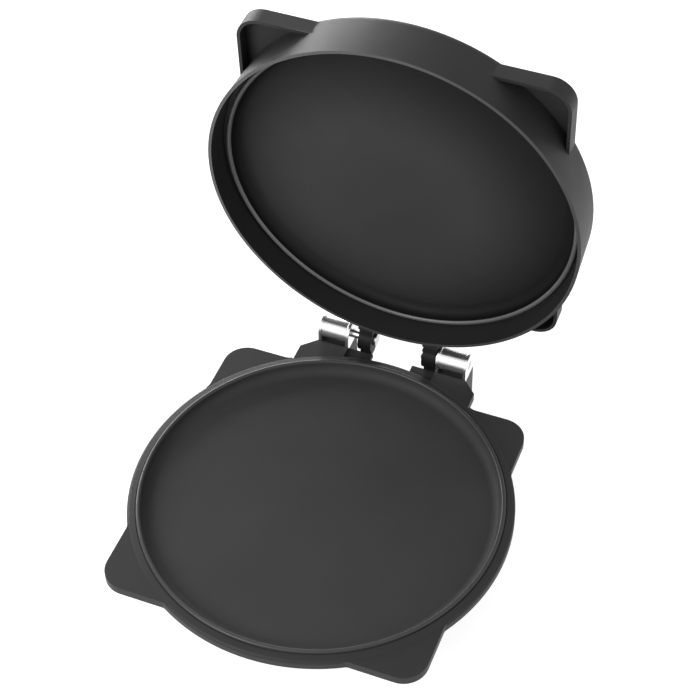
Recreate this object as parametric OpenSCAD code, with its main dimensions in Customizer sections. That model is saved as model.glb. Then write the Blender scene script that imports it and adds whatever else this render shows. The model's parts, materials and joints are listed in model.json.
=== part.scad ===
// Electric pizza maker: a round clamshell cooker with two cast plates, four
// corner ears on each half and a lid that swings back on two rear hinges.
// The lid stands open. Its pieces are drawn shut and swung up by lid_pose().

/* [Cooking plates] */
// Radius of the rolled lip of each plate
plate_r = 162; // [156:1:168]
// Radius of the bend between the cooking floor and the wall
plate_round = 9; // [6:0.5:9]
// Thickness of a plate's wall
plate_wall = 2.5; // [2:0.1:2.7]
// Depth from the lip to the cooking floor
plate_depth = 12; // [12:0.5:15]
// Thickness of the plate castings
plate_t = 4; // [3:0.5:5]
// Thickness of the rolled lip
lip_t = 4; // [3:0.5:4]
// Width of the rolled lip
lip_w = 4.5; // [4:0.5:6]
// Radius of the circle of bosses under each plate
boss_circle_r = 84; // [70:1:90]
// Radius of one boss
boss_r = 6; // [5:0.5:7]
// Height of a plate boss
boss_h = 8; // [6:0.5:9]

/* [Base] */
// Width of the ring from the plate's lip to its outer face
ring_w = 8; // [7.5:0.5:12]
// Height of the ring from its lower edge to its shoulder
ring_h = 9.8; // [9:0.1:12]
// Height that the plate's lip stands above the shoulder
lip_rise = 2.2; // [1.5:0.1:3]
// Rounding of the ring's outer top edge
ring_round = 3.5; // [2.5:0.1:4]
// Wall of the two housings
wall_t = 3; // [2.5:0.1:3.5]
// Wall of the bottom pan
pan_t = 2.4; // [2:0.1:2.6]
// Height of the pan below the ring
pan_h = 30; // [27:1:38]
// Width of the pan's curved side, from its flat bottom to the ring's face
pan_side_w = 32; // [28:1:42]
// Height of the rubber feet
foot_h = 8; // [6:0.5:12]
// Radius of a foot
foot_r = 10; // [8:0.5:12]
// Depth of the socket that takes a foot's stem
foot_stem_h = 3; // [2:0.5:3.5]
// Number of slots in the pan's bottom
vent_count = 24; // [12:2:30]
// Width of one slot
vent_w = 3; // [2:0.5:4]
// Inner end of the slots
vent_r_in = 34; // [30:1:44]
// Outer end of the slots
vent_r_out = 66; // [56:1:68]

/* [Ears] */
// Half the width of the square that the ears mark out
ear_half = 146; // [142:1:150]
// Offset of that square towards the front of the base
ear_shift = 2.5; // [0:0.5:4]
// Corner radius of an ear
ear_corner = 22; // [16:1:28]
// Radius that blends an ear into the ring
ear_blend = 12; // [8:1:16]
// Thickness of an ear's top
ear_t = 3.2; // [2.5:0.1:3.6]
// Height of the ear skirts on the lid
lid_ear_h = 16; // [12:1:18]
// Distance of the lid's ears below its top
lid_ear_drop = 7; // [6:0.5:12]

/* [Lid] */
// Height of the lid from its rim to its top
lid_h = 53; // [51:1:64]
// Radius that the lid's wall loses on its way up
lid_taper = 3; // [1:0.5:4]
// Rounding of the lid's top edge
lid_round = 8; // [5:0.5:9]
// Depth from the lid's rim to the lip of its plate
lid_lip_depth = 20; // [16:0.5:22]
// Gap between the shut lid and the ring
close_gap = 0.4; // [0.3:0.1:0.8]
// Radius of the cover let into the lid's top
cover_r = 112; // [100:1:120]
// Thickness of that cover at its edge
cover_t = 2; // [1.5:0.1:2.2]
// Height of the cover's crown above its edge
cover_crown = 2.5; // [1:0.5:4]
// Radius of an indicator lens
lens_r = 4; // [3:0.5:5]
// Distance between the two lenses
lens_pitch = 26; // [20:1:40]
// Distance from the lid's centre to the lenses
lens_y = 138; // [136:1:142]

/* [Hinge] */
// Angle at which the lid stands open
open_angle = 88; // [80:1:95]
// Distance from the ring to the hinge axis
hinge_set = 16.5; // [16:0.5:20]
// Height of the hinge axis above the ring's lower edge
hinge_rise = 17; // [16:0.5:20]
// Radius of a hinge pin
pin_r = 4; // [3:0.25:4.5]
// Radius of a polished sleeve
sleeve_r = 11; // [9:0.5:12]
// Length of a sleeve
sleeve_l = 24; // [18:1:28]
// Distance from the middle of the product to a sleeve
sleeve_x = 46; // [45:1:50]
// Thickness of a sleeve's cheeks
cheek_t = 3; // [2.5:0.5:4]
// Distance from the middle to a lid arm
arm_x = 25; // [20:1:25]
// Width of a lid arm
arm_w = 13; // [12:0.5:13]
// Distance the pair of arms sits to the right of the middle of the hinge
arm_shift = 4.5; // [0:0.5:4.5]
// Step from an arm's side to the narrower heel
heel_inset = 1; // [0.5:0.5:2]
// Radius of a lid arm's knuckle
knuckle_r = 12.5; // [11:0.5:13]
// Height of an arm's foot on the lid
seat_h = 34; // [28:1:36]
// Thickness of an arm's foot
arm_t = 3.5; // [3:0.5:5]
// Wall of the bush in an arm
bush_t = 1.5; // [1:0.1:2]
// Distance from the middle to the outer side of a tower
tower_x = 86; // [80:1:88]
// Height of a hinge tower's flat top above the base's split line
tower_h = 8.8; // [7:0.2:9]

/* [Heating] */
// Radius of a heating element's tube
tube_r = 3.3; // [2.5:0.1:3.5]
// Radius of the loop that the tube follows
loop_r = 112; // [104:1:118]
// Angle that is left open between the loop's ends
loop_gap = 36; // [30:2:50]
// Length of an element's straight end
cold_end = 34; // [30:1:36]
// Distance of the thermostats and the fuse from the middle
sensor_x = 40; // [32:1:50]
// Radius of a thermostat's case
case_r = 8; // [6:0.5:9]
// Height of a thermostat's case
case_h = 5; // [4:0.5:6]
// Radius of the fuse's sleeve
fuse_r = 2.5; // [2:0.1:3]
// Length of the fuse's sleeve
fuse_l = 30; // [24:1:36]
// Depth of the terminal block
block_d = 15; // [12:0.5:18]
// Height of the terminal block
block_h = 9; // [8:0.5:11]
// Distance from the block to the pan's curved side
block_gap = 19; // [16:1:24]
// Radius of the stiff leads
lead_wire_r = 1.5; // [1:0.1:1.8]
// Thickness of the sheet reflectors
sheet_t = 0.8; // [0.6:0.1:1]
// Distance from the element's loop out to a reflector's edge
reflector_out = 14; // [9:1:15]
// Distance from the element's loop in to the reflector's opening
reflector_lap = 38; // [37:1:46]

/* [Fits] */
// Gap round a pin, a bolt or a screw
run_gap = 0.05; // [0.03:0.01:0.08]
// Gap between pieces that slip into each other
fit_gap = 0.3; // [0.2:0.05:0.35]
// Gap between pieces that pass each other
pass_gap = 2; // [1.5:0.1:2.5]
// Radius of the screws
screw_r = 1.9; // [1.5:0.1:2]
// Radius of the screw heads
head_r = 3.8; // [3.2:0.1:4]
// Height of the screw heads
head_h = 2.2; // [1.8:0.1:2.4]
// Radius of the hole for the supply lead
lead_r = 3.8; // [3:0.1:4.5]

/* [Hidden] */
$fn = 96;
plastic = [0.17, 0.17, 0.18];
plate_black = [0.10, 0.10, 0.11];
arm_black = [0.04, 0.04, 0.04];
steel = [0.80, 0.81, 0.82];
zinc = [0.62, 0.63, 0.65];
rubber = [0.07, 0.07, 0.07];
ceramic = [0.90, 0.88, 0.82];
past = 1;
skin = 0.4;
overlap = 0.5;

ring_r = plate_r + ring_w;
plate_wall_r = plate_r - lip_w;
floor_r = plate_wall_r - plate_round;
pan_floor_r = ring_r - pan_side_w;
ring_z = foot_h + pan_h;
ring_top = ring_z + ring_h;
lip_z = ring_top + lip_rise;
floor_z = lip_z - plate_depth;
shoulder_r = plate_r + 2 * fit_gap;
ear_z = ring_top - 1.4;
web_z = ring_top - wall_t - 1.4;
collar_r = ring_r - wall_t - pan_t - 2 * fit_gap;
ledge_r = plate_r - 1.5;
rim_z = ring_top + close_gap;
lid_z = rim_z + lid_h;
lid_ear_z = lid_z - lid_ear_drop;
lid_r = ring_r - lid_taper;
lid_lip_z = rim_z + lid_lip_depth;
lid_floor_z = lid_lip_z + plate_depth;
hinge_y = ring_r + hinge_set;
hinge_z = ring_z + hinge_rise;
pan_in = foot_h + pan_t;
block_y = pan_floor_r - block_gap - block_d;
reflector_r = loop_r + reflector_out;
reflector_in = loop_r - reflector_lap;
lead_x = (loop_r - cold_end - 7) * sin(loop_gap / 2);
lead_y = (loop_r - cold_end - 7) * cos(loop_gap / 2);
tube_z = floor_z - plate_t - tube_r - 0.1;
lid_tube_z = lid_floor_z + plate_t + tube_r + 0.1;
boss_z = floor_z - plate_t - boss_h;
lid_boss_z = lid_floor_z + plate_t + boss_h;
lid_ceiling = lid_z - wall_t - 1;
bush_r = pin_r + run_gap + bush_t;
foot_x = 86;
foot_y = -88;
stop_y = hinge_y - knuckle_r + 4.5;
saddle_z = hinge_z - sleeve_r - 1;
leg_y = hinge_y - sleeve_r - 1 - fit_gap;
edge_y = lid_r - lid_round;
edge_z = (lid_z - lid_round - hinge_z) * sin(open_angle) + lid_round;
rear_top = (edge_y - hinge_y) * cos(open_angle) + edge_z;
front_top = (-edge_y - hinge_y) * cos(open_angle) + edge_z;
rear_y = hinge_y + max(rear_top, front_top);
centre_y = (rear_y - ring_r) / 2;
seat_y = ring_r + 1.5;
seat_z = rim_z + 1.5;
seat_bore = 7.5;
screw_z = seat_z + seat_h - 6.5;
tower_foot_x = sleeve_x + sleeve_l / 2;
boss_angles = [for (i = [0 : 3]) 45 + 90 * i];

// ---- helpers ---------------------------------------------------------------

// Moves the cooker from the plates' axis to the middle of its open outline.
module placed() {
    translate([0, -centre_y, 0]) children();
}

// Swings a piece that is drawn shut up to where the open lid holds it.
module lid_pose() {
    placed() translate([0, hinge_y, hinge_z])
        rotate([-open_angle, 0, 0])
            translate([0, -hinge_y, -hinge_z])
                children();
}

// Repeats a piece drawn on the +X side on the -X side too.
module both_sides() {
    children();
    mirror([1, 0, 0]) children();
}

// A solid of revolution from a profile drawn as (radius, height).
module turned() {
    rotate_extrude($fn = 180) children();
}

// Fills the notch between a flank and a circle with a concave arc.
// The flank lies at x = w, and the notch is on its side towards +Y.
module flank_blend(r, w, blend) {
    cy = sqrt(pow(r + blend, 2) - pow(w + blend, 2));
    k = r / (r + blend);
    difference() {
        polygon([[w - 1, cy], [w, cy], [(w + blend) * k, cy * k],
            [(w + blend) * k - 2, cy * k - 2], [w - 2, cy * k - 3]]);
        translate([w + blend, cy]) circle(r = blend);
    }
}

// The plan of a housing's ears: a square with round corners, cut free of
// the circle by blends that run just under the circle's edge.
module ear_plan(r, inset = 0) {
    w = ear_half - inset;
    front = ear_half + ear_shift - inset;
    back = ear_half - ear_shift - inset;
    corner = ear_corner - inset;
    blend = ear_blend + inset;
    circle(r = r - 2 * skin);
    for (sx = [-1, 1], sy = [-1, 1]) {
        depth = sy > 0 ? back : front;
        scale([sx, sy]) {
            translate([w - corner, depth - corner]) circle(r = corner);
            square([w - corner, depth]);
            square([w, depth - corner]);
            flank_blend(r - skin, w, blend);
            mirror([1, -1]) flank_blend(r - skin, depth, blend);
        }
    }
}

// The distance of a blend's centre from the axis that its flank crosses.
function blend_c(r, w) = sqrt(pow(r - skin + ear_blend, 2) - pow(w + ear_blend, 2));

// Keeps only the sectors of a plan that lie between an ear's two blends.
module corners_only(r) {
    far = 2 * ring_r;
    intersection() {
        children();
        for (sx = [-1, 1], sy = [-1, 1]) {
            depth = sy > 0 ? ear_half - ear_shift : ear_half + ear_shift;
            a = atan2(blend_c(r, ear_half), ear_half + ear_blend);
            b = atan2(depth + ear_blend, blend_c(r, depth));
            scale([sx, sy])
                polygon([[0, 0], [far * cos(a), far * sin(a)], [far * cos(b), far * sin(b)]]);
        }
    }
}

// The profile of a cast plate, with its lip up and its underside at z = 0:
// a flat floor, a bend, a short upright wall and a half-round lip.
module plate_profile() {
    top = plate_depth + plate_t;
    under = plate_round + plate_wall;
    bead = lip_w / 2;
    difference() {
        union() {
            square([floor_r, plate_t]);
            intersection() {
                translate([floor_r, under]) circle(r = under);
                translate([floor_r - 1, 0]) square([under + 1, under]);
            }
            translate([floor_r, under]) square([under, top - lip_t - under]);
            translate([plate_wall_r, top - lip_t]) square([lip_w, lip_t - bead]);
            intersection() {
                translate([plate_wall_r + bead, top - bead]) circle(r = bead);
                translate([plate_wall_r, top - bead]) square([lip_w, bead]);
            }
        }
        translate([floor_r, plate_t + plate_round]) circle(r = plate_round);
        translate([0, plate_t + plate_round]) square([plate_wall_r, top]);
        translate([0, plate_t]) square([floor_r, top]);
    }
}

// A heating element: a tube loop whose ends turn inwards to flat terminals.
module element_loop() {
    a = loop_gap / 2;
    rotate([0, 0, 90 + a])
        rotate_extrude(angle = 360 - loop_gap, $fn = 120)
            translate([loop_r, 0]) circle(r = tube_r);
    for (s = [-1, 1]) {
        rotate([0, 0, 90 + s * a]) translate([loop_r, 0, 0]) {
            sphere(r = tube_r);
            rotate([0, -90, 0]) cylinder(r = tube_r, h = cold_end);
            translate([-cold_end - 9, -2.5, -0.5]) cube([10, 5, 1]);
        }
    }
}

// A clip that holds the tube from one side: a strap with two legs.
module tube_clip() {
    leg = tube_r + 0.1;
    side = tube_r + fit_gap + 0.1;
    strap = 1.2;
    translate([-side - strap, -7, -leg - strap]) cube([2 * (side + strap), 14, strap]);
    for (s = [0, 1]) {
        mirror([s, 0, 0]) translate([side, -7, -leg - strap]) cube([strap, 14, 2 * leg + strap]);
    }
}

module clips() {
    for (a = [0, 180, 270]) {
        rotate([0, 0, a]) translate([loop_r, 0, 0]) tube_clip();
    }
}

// A pan-head screw that points up from z = 0.
module screw(length) {
    difference() {
        union() {
            translate([0, 0, -head_h]) cylinder(r = head_r, h = head_h, $fn = 48);
            cylinder(r = screw_r, h = length, $fn = 48);
        }
        for (a = [0, 90]) {
            rotate([0, 0, a]) translate([-2.2, -0.5, -head_h - past]) cube([4.4, 1, past + 1.1]);
        }
    }
}

module at_bosses() {
    for (a = boss_angles) {
        rotate([0, 0, a]) translate([boss_circle_r, 0, 0]) children();
    }
}

// ---- base ------------------------------------------------------------------

// The ring's section: skirt, rounded shoulder, and collar under the lip.
module ring_profile() {
    skirt = ring_r - wall_t;
    difference() {
        union() {
            translate([skirt, ring_z]) square([wall_t, ring_h - ring_round - 0.8]);
            polygon([[shoulder_r, web_z], [skirt + 0.5, web_z],
                [ring_r, ring_top - ring_round - 0.8], [ring_r - ring_round, ring_top - 0.8],
                [shoulder_r, ring_top]]);
            intersection() {
                translate([ring_r - ring_round, ring_top - ring_round - 0.8]) circle(r = ring_round);
                translate([ring_r - ring_round - 1, ring_top - ring_round - 0.8])
                    square([ring_round + 1, ring_round]);
            }
            translate([ledge_r, ring_z - 2]) square([collar_r - ledge_r, lip_z - lip_t - ring_z + 2]);
        }
    }
}

module tower_plan() {
    front = sqrt(ring_r * ring_r - tower_x * tower_x);
    inner = sleeve_x - cheek_t;
    outer = sleeve_x + sleeve_l + cheek_t;
    difference() {
        polygon([[inner, front], [tower_x, front - 4], [tower_x, front + 15], [outer, leg_y],
            [inner, leg_y]]);
        circle(r = ring_r - wall_t + 1);
    }
}

// One hinge tower: a flat-topped block against the ring, and behind it a
// hollow leg that carries the hinge bracket and reaches down to the rear foot.
module tower() {
    inner = sleeve_x - cheek_t;
    outer = sleeve_x + sleeve_l + cheek_t;
    leg_d = 2 * (hinge_y - leg_y);
    difference() {
        union() {
            translate([0, 0, ring_z]) linear_extrude(tower_h) tower_plan();
            translate([inner, leg_y - overlap, foot_h])
                cube([outer - inner, leg_d + overlap, saddle_z - foot_h]);
        }
        translate([inner + wall_t, leg_y + wall_t, foot_h + wall_t])
            cube([outer - inner - 2 * wall_t, leg_d - 2 * wall_t, saddle_z - foot_h - 2 * wall_t]);
        translate([tower_foot_x, hinge_y, foot_h - past])
            cylinder(r = foot_r / 2 + fit_gap, h = foot_stem_h + past);
    }
}

// The block behind the ring that stops the arm's heel.
module stop_block() {
    start = arm_x - arm_shift - 1;
    difference() {
        translate([start, ring_r - 8, ring_z])
            cube([sleeve_x - cheek_t + 1 - start, stop_y - ring_r + 8, saddle_z - 1 - ring_z]);
        translate([0, 0, ring_z - past]) cylinder(r = ring_r - wall_t / 2, h = ring_h + past);
    }
}

module base_housing() color(plastic) placed() {
    difference() {
        union() {
            turned() ring_profile();
            translate([0, 0, ring_z]) linear_extrude(ear_z - ring_z)
                difference() {
                    corners_only(ring_r) ear_plan(ring_r);
                    circle(r = ring_r - wall_t / 2);
                }
        }
        translate([0, 0, ring_z - past]) linear_extrude(ear_z - ear_t - ring_z + past)
            difference() {
                corners_only(ring_r) ear_plan(ring_r - wall_t, wall_t);
                circle(r = ring_r - skin);
            }
    }
    both_sides() {
        tower();
        stop_block();
    }
}

module base_pan() color(plastic) placed() {
    rim_out = ring_r - wall_t - fit_gap;
    rim_in = rim_out - pan_t;
    knee_r = pan_floor_r + (rim_out - pan_floor_r) * 0.7;
    knee_z = foot_h + pan_h * 0.45;
    difference() {
        union() {
            turned() difference() {
                union() {
                    polygon([[0, foot_h], [pan_floor_r, foot_h], [pan_floor_r + 6, foot_h + 3],
                        [knee_r, knee_z], [rim_out, ring_z - 1], [rim_out, web_z],
                        [0, web_z]]);
                }
                polygon([[0, pan_in], [pan_floor_r - 1, pan_in], [pan_floor_r + 4, foot_h + 5],
                    [knee_r - pan_t, knee_z + 0.6], [rim_in, ring_z - 2], [rim_in, web_z + past],
                    [0, web_z + past]]);
            }
            at_bosses() translate([0, 0, foot_h + overlap])
                cylinder(r = boss_r, h = boss_z - sheet_t - foot_h - overlap);
            for (s = [-1, 1]) translate([s * foot_x, foot_y, foot_h + overlap])
                cylinder(r = foot_r / 2 + 3, h = foot_stem_h + 1.5);
            gland_seat();
        }
        at_bosses() translate([0, 0, foot_h - past]) {
            cylinder(r = screw_r + fit_gap, h = boss_z - foot_h + 2 * past);
            cylinder(r = head_r + fit_gap, h = head_h + past);
        }
        for (s = [-1, 1]) translate([s * foot_x, foot_y, foot_h - past])
            cylinder(r = foot_r / 2 + fit_gap, h = foot_stem_h + past);
        for (i = [0 : vent_count - 1]) {
            rotate([0, 0, i * 360 / vent_count]) translate([vent_r_in, 0, foot_h - past]) {
                translate([0, -vent_w / 2, 0])
                    cube([vent_r_out - vent_r_in, vent_w, pan_t + 2 * past]);
                for (x = [0, vent_r_out - vent_r_in]) {
                    translate([x, 0, 0]) cylinder(r = vent_w / 2, h = pan_t + 2 * past, $fn = 24);
                }
            }
        }
        translate([0, gland_y() - 30, gland_z()]) rotate([-90, 0, 0])
            cylinder(r = gland_r() + fit_gap / 2, h = 60);
        translate([-gland_r() - 2, gland_y() - 30, gland_z() - gland_r() - 2])
            cube([2 * gland_r() + 4, 30 - wall_t, 2 * gland_r() + 4]);
    }
}

function gland_r() = lead_r + 3;
function gland_y() = pan_floor_r + (ring_r - pan_floor_r) * 0.85;
function gland_z() = foot_h + pan_h * 0.5;

// A flat-faced block in the pan's rear wall for the gland.
module gland_seat() {
    half = gland_r() + 4;
    top = ring_z - 4;
    intersection() {
        translate([-half, pan_floor_r - 6, foot_h])
            cube([2 * half, gland_y() - pan_floor_r + 6, top - foot_h]);
        translate([0, 0, foot_h]) cylinder(r = ring_r - wall_t - 1, h = pan_h);
    }
}

module cord_gland() color(rubber) placed() {
    seat = gland_y();
    translate([0, seat, gland_z()]) rotate([90, 0, 0]) {
        difference() {
            union() {
                cylinder(r = gland_r(), h = wall_t + fit_gap);
                translate([0, 0, -2.5]) cylinder(r = gland_r() + 2.5, h = 2.5);
                translate([0, 0, wall_t + fit_gap]) cylinder(r = gland_r() + 1.2, h = 2.5);
            }
            translate([0, 0, -past - 2.5]) cylinder(r = lead_r, h = wall_t + 12);
        }
    }
}

// A rubber foot with its stem pushed into the socket above it.
module foot() {
    difference() {
        union() {
            cylinder(r = foot_r, h = foot_h - 1.5);
            cylinder(r = foot_r - 1, h = foot_h);
            cylinder(r = foot_r / 2, h = foot_h + foot_stem_h - fit_gap);
        }
        translate([0, 0, -past]) cylinder(r = foot_r / 3, h = past + 1.5);
    }
}

module rubber_feet() color(rubber) placed() {
    both_sides() {
        translate([foot_x, foot_y, 0]) foot();
        translate([tower_foot_x, hinge_y, 0]) foot();
    }
}

module lower_plate() color(plate_black) placed() {
    difference() {
        union() {
            translate([0, 0, floor_z - plate_t]) turned() plate_profile();
            at_bosses() translate([0, 0, boss_z]) cylinder(r = boss_r, h = boss_h + overlap);
        }
        at_bosses() translate([0, 0, boss_z - past])
            cylinder(r = screw_r + run_gap, h = boss_h - 1 + past);
    }
}

module lower_element() color(zinc) placed() {
    translate([0, 0, tube_z]) element_loop();
}

module lower_element_clips() color(steel) placed() {
    translate([0, 0, tube_z]) clips();
}

// A sheet ring with turned-up edges that the plate's bosses clamp.
module reflector_sheet(z, up) {
    side = up ? z : z + sheet_t - 4;
    difference() {
        turned() {
            translate([reflector_in, z]) square([reflector_r - reflector_in, sheet_t]);
            translate([reflector_r - sheet_t, side]) square([sheet_t, 4]);
        }
        at_bosses() translate([0, 0, z - past])
            cylinder(r = screw_r + fit_gap, h = sheet_t + 2 * past);
    }
}

module lower_reflector() color(steel) placed() {
    reflector_sheet(boss_z - sheet_t, true);
}

// A disc thermostat with two spade terminals and two fixing ears.
module thermostat_body() {
    cylinder(r = case_r, h = case_h);
    translate([-1.5 * case_r, -case_r / 4, 0]) cube([3 * case_r, case_r / 2, 1]);
    for (s = [-1, 1]) {
        translate([s * case_r / 2 - 0.4, -3, -7]) cube([0.8, 6, 7.5]);
    }
}

module thermostat() color(ceramic) placed() {
    translate([sensor_x, 0, floor_z - plate_t - case_h]) thermostat_body();
}

// A thermal fuse in its sleeve, held flat against the plate by a strap.
module thermal_fuse() color(ceramic) placed() {
    z = floor_z - plate_t - fuse_r;
    strap = 1;
    half = fuse_r + 3;
    translate([-sensor_x, 0, z]) {
        rotate([90, 0, 0]) cylinder(r = fuse_r, h = fuse_l, center = true);
        translate([-half, -3, -fuse_r - strap + 0.1]) cube([2 * half, 6, strap]);
        for (s = [-1, 1]) {
            translate([s * (half - strap / 2) - strap / 2, -3, -fuse_r - strap + 0.1])
                cube([strap, 6, 2 * fuse_r + strap - 0.1]);
        }
    }
}

module terminal_block() color(ceramic) placed() {
    half = lead_x + 4 * lead_wire_r;
    floor_gap = block_h / 2;
    difference() {
        translate([-half, block_y, pan_in]) cube([2 * half, block_d, block_h]);
        for (i = [-1 : 1]) {
            translate([i * lead_x, block_y + block_d / 2, pan_in + block_h - 3])
                cylinder(r = 1.6 * lead_wire_r, h = 3 + past, $fn = 32);
            translate([i * lead_x, block_y - past, pan_in + floor_gap - 0.5]) rotate([-90, 0, 0])
                cylinder(r = lead_wire_r + run_gap, h = block_d + 2 * past, $fn = 32);
        }
    }
}

// Stiff leads from the terminal block to the ends of the element.
module base_leads() color([0.75, 0.75, 0.7]) placed() {
    z = pan_in + block_h / 2 - 0.5;
    for (i = [-1, 1]) {
        translate([i * lead_x, lead_y, z]) {
            rotate([-90, 0, 0])
                cylinder(r = lead_wire_r, h = block_y + block_d / 3 - lead_y, $fn = 32);
            sphere(r = lead_wire_r, $fn = 32);
            cylinder(r = lead_wire_r, h = tube_z - 0.5 - z, $fn = 32);
        }
    }
}

module base_screws() color(zinc) placed() {
    at_bosses() translate([0, 0, foot_h + head_h]) screw(boss_z + boss_h - foot_h - head_h - 2);
}

// ---- hinge -----------------------------------------------------------------

// A hinge bracket: two cheeks that stand on the leg, with the sleeve between
// them and one bore for the pin.
module hinge_sleeve() {
    length = sleeve_l + 2 * cheek_t;
    difference() {
        translate([sleeve_x - cheek_t, 0, 0]) {
            translate([cheek_t - overlap, hinge_y, hinge_z]) rotate([0, 90, 0])
                cylinder(r = sleeve_r, h = sleeve_l + 2 * overlap);
            for (x = [0, sleeve_l + cheek_t]) {
                translate([x, hinge_y, hinge_z]) rotate([0, 90, 0])
                    cylinder(r = sleeve_r + 1, h = cheek_t);
                translate([x, hinge_y - sleeve_r - 1, saddle_z])
                    cube([cheek_t, 2 * sleeve_r + 2, hinge_z - saddle_z]);
            }
        }
        translate([sleeve_x - cheek_t - past, hinge_y, hinge_z]) rotate([0, 90, 0])
            cylinder(r = pin_r + run_gap, h = length + 2 * past);
    }
}

module hinge_pin(shift) {
    start = arm_x + shift - 0.5;
    end = sleeve_x + sleeve_l + cheek_t;
    translate([start, hinge_y, hinge_z]) rotate([0, 90, 0]) {
        cylinder(r = pin_r, h = end - start);
        translate([0, 0, -2]) cylinder(r = pin_r + 2, h = 2);
    }
}

module hinge_sleeve_right() color(steel) placed() hinge_sleeve();
module hinge_sleeve_left() color(steel) placed() mirror([1, 0, 0]) hinge_sleeve();
module hinge_pin_right() color(zinc) placed() hinge_pin(arm_shift);
module hinge_pin_left() color(zinc) placed() mirror([1, 0, 0]) hinge_pin(-arm_shift);

// The pair of lid arms and all that belongs to them.
module arm_pair() {
    translate([arm_shift, 0, 0]) both_sides() children();
}

// The foot on the lid's seat and the neck, in side view with the lid shut,
// drawn as (y, z).
module leg_outline() {
    top = seat_z + seat_h;
    polygon([[seat_y, seat_z], [seat_y, top], [seat_y + arm_t, top], [seat_y + arm_t, top - 13],
        [hinge_y + knuckle_r - 4, hinge_z + 6], [hinge_y + 1, hinge_z - 2],
        [hinge_y - 2, hinge_z - knuckle_r + 1.5]]);
}

// The heel that meets the stop, in side view with the lid open, measured
// from the hinge axis.
module heel_outline() {
    front = stop_y + fit_gap - hinge_y;
    foot = ring_z - hinge_z;
    polygon([[front, foot + 1], [front + 1, foot], [2, foot], [6, foot + 4],
        [knuckle_r - 3, 2], [front + 1, 3]]);
}

module lid_arm() {
    difference() {
        union() {
            translate([arm_x, 0, 0]) rotate([90, 0, 90]) linear_extrude(arm_w) leg_outline();
            translate([arm_x, hinge_y, hinge_z]) {
                rotate([0, 90, 0]) cylinder(r = knuckle_r, h = arm_w);
                translate([heel_inset, 0, 0]) rotate([open_angle, 0, 0]) rotate([90, 0, 90])
                    linear_extrude(arm_w - 2 * heel_inset) heel_outline();
            }
        }
        translate([arm_x - past, hinge_y, hinge_z]) rotate([0, 90, 0])
            cylinder(r = bush_r, h = arm_w + 2 * past);
        translate([arm_x + arm_w / 2, seat_y - past, screw_z]) rotate([-90, 0, 0])
            cylinder(r = screw_r + fit_gap, h = arm_t + 2 * past, $fn = 48);
    }
}

module lid_arm_right() color(arm_black) lid_pose() translate([arm_shift, 0, 0]) lid_arm();
module lid_arm_left() color(arm_black) lid_pose() translate([arm_shift, 0, 0])
    mirror([1, 0, 0]) lid_arm();

module hinge_bushes() color(ceramic) lid_pose() arm_pair() {
    translate([arm_x, hinge_y, hinge_z]) rotate([0, 90, 0])
        difference() {
            cylinder(r = bush_r, h = arm_w);
            translate([0, 0, -past]) cylinder(r = pin_r + run_gap, h = arm_w + 2 * past);
        }
}

module arm_screws() color(zinc) lid_pose() arm_pair() {
    translate([arm_x + arm_w / 2, seat_y + arm_t, screw_z]) rotate([90, 0, 0])
        screw(arm_t + seat_bore - 0.5);
}

// ---- lid -------------------------------------------------------------------

module lid_body_profile(rim, top, z0, z1, round) {
    union() {
        polygon([[0, z0], [rim, z0], [top, z1 - round], [top - round, z1], [0, z1]]);
        translate([top - round, z1 - round]) circle(r = round);
    }
}

module lid_shell_profile() {
    shelf_z = lid_lip_z + lip_t;
    difference() {
        lid_body_profile(ring_r, lid_r, rim_z, lid_z, lid_round);
        difference() {
            union() {
                lid_body_profile(ring_r - wall_t, lid_r - wall_t, rim_z, lid_z - wall_t,
                    lid_round - wall_t);
                translate([0, rim_z - past]) square([ring_r - wall_t, past + 0.1]);
            }
            translate([ledge_r, shelf_z]) square([20, wall_t]);
            translate([0, lid_ceiling]) square([cover_r + 6, 2]);
        }
    }
}

// The flat seat on the lid's rear wall that an arm is screwed to.
module arm_seat() {
    difference() {
        translate([arm_x - 1, ring_r - 14, seat_z - 0.5])
            cube([arm_w + 2, seat_y - ring_r + 14, seat_h + 1]);
        translate([0, 0, rim_z]) cylinder(r1 = ring_r - wall_t / 2, r2 = lid_r - wall_t / 2,
            h = lid_h - lid_round, $fn = 180);
    }
}

module lid_housing() color(plastic) lid_pose() {
    difference() {
        union() {
            turned() lid_shell_profile();
            translate([0, 0, lid_ear_z - lid_ear_h]) linear_extrude(lid_ear_h)
                difference() {
                    corners_only(lid_r) ear_plan(lid_r);
                    circle(r = lid_r - wall_t / 2);
                }
            arm_pair() arm_seat();
            at_bosses() translate([0, 0, lid_boss_z + sheet_t])
                cylinder(r = boss_r, h = lid_ceiling + overlap - lid_boss_z - sheet_t);
        }
        translate([0, 0, lid_ear_z - lid_ear_h - past]) linear_extrude(lid_ear_h - ear_t + past)
            difference() {
                corners_only(lid_r) ear_plan(lid_r - wall_t, wall_t);
                circle(r = lid_r + skin);
            }
        translate([0, 0, lid_z - cover_t]) cylinder(r = cover_r + fit_gap, h = cover_t + past);
        at_bosses() {
            translate([0, 0, lid_boss_z - past])
                cylinder(r = screw_r + fit_gap, h = lid_h);
            translate([0, 0, lid_z - cover_t - head_h])
                cylinder(r = head_r + fit_gap, h = head_h + past);
        }
        for (s = [-1, 1]) translate([s * lens_pitch / 2, -lens_y, lid_ceiling - past])
            cylinder(r = lens_r + run_gap, h = 10);
        arm_pair() translate([arm_x + arm_w / 2, seat_y - seat_bore, screw_z])
            rotate([-90, 0, 0]) cylinder(r = screw_r + run_gap, h = seat_bore + past, $fn = 48);
    }
}

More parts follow.
